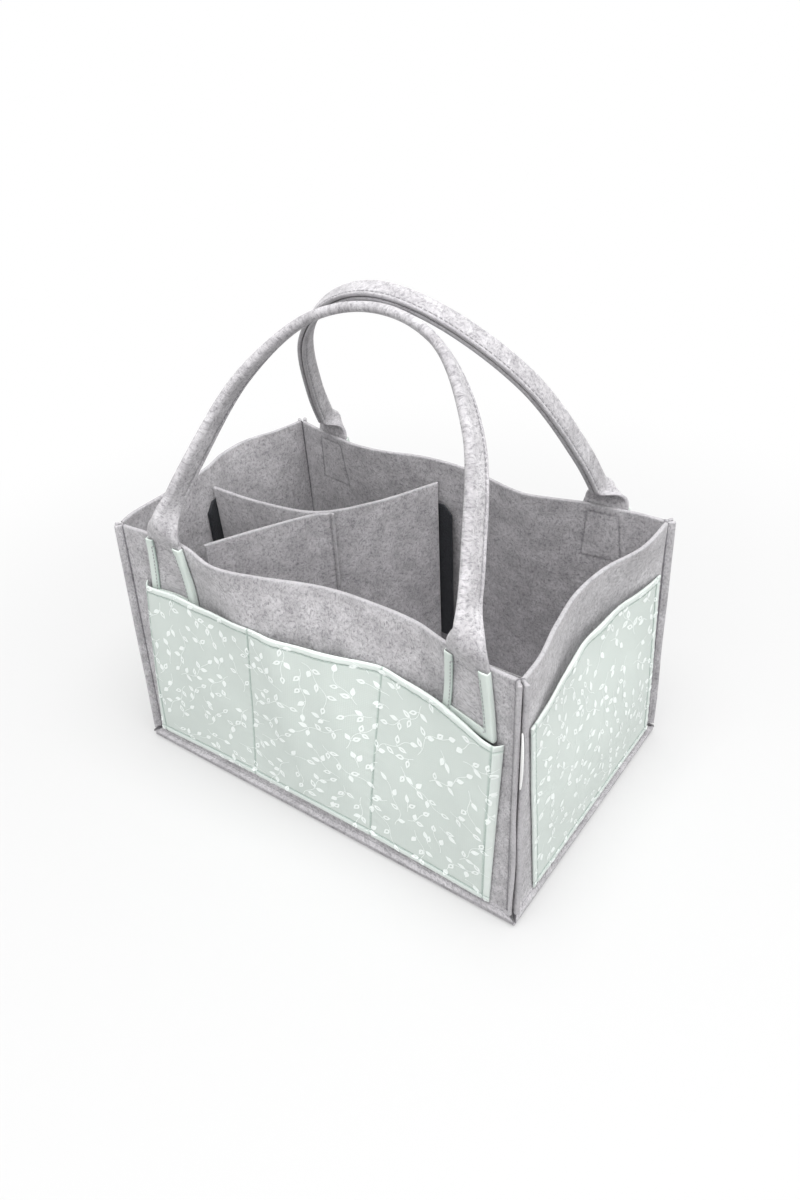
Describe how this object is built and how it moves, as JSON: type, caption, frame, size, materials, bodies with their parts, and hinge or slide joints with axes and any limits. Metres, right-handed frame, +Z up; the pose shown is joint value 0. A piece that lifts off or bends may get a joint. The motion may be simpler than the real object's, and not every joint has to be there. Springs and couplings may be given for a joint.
{
  "type": "felt baby care bag",
  "caption": "Open felt caddy bag with outward seams, cotton pockets on three sides, two folded felt handles and a loose Y-shaped divider that grips the walls with hook tape.",
  "frame": {"origin": "on the floor under the middle of the base", "axes": "+X along the long front to the right, +Y from the front to the back, +Z up"},
  "size_m": [0.3582, 0.226, 0.3629],
  "materials": {
    "felt": "needled grey melange wool felt, 3 mm, matt and slightly hairy",
    "print_cotton": "pale mint cotton with a white leaf sprig print, matt",
    "binding_cotton": "plain pale mint cotton tape, matt",
    "hook_tape": "black nylon hook tape, matt",
    "grey_thread": "grey polyester sewing thread",
    "mint_thread": "pale mint polyester sewing thread",
    "label_tape": "plain white woven tape"
  },
  "bodies": {
    "bag": {"front_wall": "felt", "back_wall": "felt", "left_wall": "felt", "right_wall": "felt", "base_panel": "felt", "front_left_corner_thread": "grey_thread", "front_right_corner_thread": "grey_thread", "back_left_corner_thread": "grey_thread", "back_right_corner_thread": "grey_thread", "front_bottom_thread": "grey_thread", "back_bottom_thread": "grey_thread", "right_bottom_thread": "grey_thread", "left_bottom_thread": "grey_thread", "front_pocket_panel": "print_cotton", "front_pocket_hem_thread": "mint_thread", "front_pocket_seam_thread_1": "mint_thread", "front_pocket_seam_thread_2": "mint_thread", "right_pocket_panel": "print_cotton", "right_pocket_hem_thread": "mint_thread", "left_pocket_panel": "print_cotton", "left_pocket_hem_thread": "mint_thread", "front_left_tab": "felt", "front_left_tab_binding": "binding_cotton", "front_left_tab_thread": "grey_thread", "front_right_tab": "felt", "front_right_tab_binding": "binding_cotton", "front_right_tab_thread": "grey_thread", "back_left_tab": "felt", "back_left_tab_binding": "binding_cotton", "back_left_tab_thread": "grey_thread", "back_right_tab": "felt", "back_right_tab_binding": "binding_cotton", "back_right_tab_thread": "grey_thread", "corner_label": "label_tape"},
    "front_handle": {"front_handle_strap": "felt", "front_handle_seam_thread": "grey_thread"},
    "back_handle": {"back_handle_strap": "felt", "back_handle_seam_thread": "grey_thread"},
    "divider": {"divider_long_panel": "felt", "divider_short_panel": "felt", "divider_seam_thread": "grey_thread", "left_hook_strip": "hook_tape", "back_hook_strip": "hook_tape", "front_hook_strip": "hook_tape"}
  },
  "joints": [
    {"name": "front_handle_fold", "type": "hinge", "parent": "bag", "child": "front_handle", "pos_m": [0.005, -0.1053, 0.202], "axis": [1, 0, 0], "range_deg": [0, 135]},
    {"name": "back_handle_fold", "type": "hinge", "parent": "bag", "child": "back_handle", "pos_m": [-0.004, 0.1032, 0.202], "axis": [-0.9999, -0.0144, 0], "range_deg": [0, 135]},
    {"name": "divider_lift", "type": "slide", "parent": "bag", "child": "divider", "axis": [0, 0, 1], "range_m": [0, 0.045]}
  ]
}
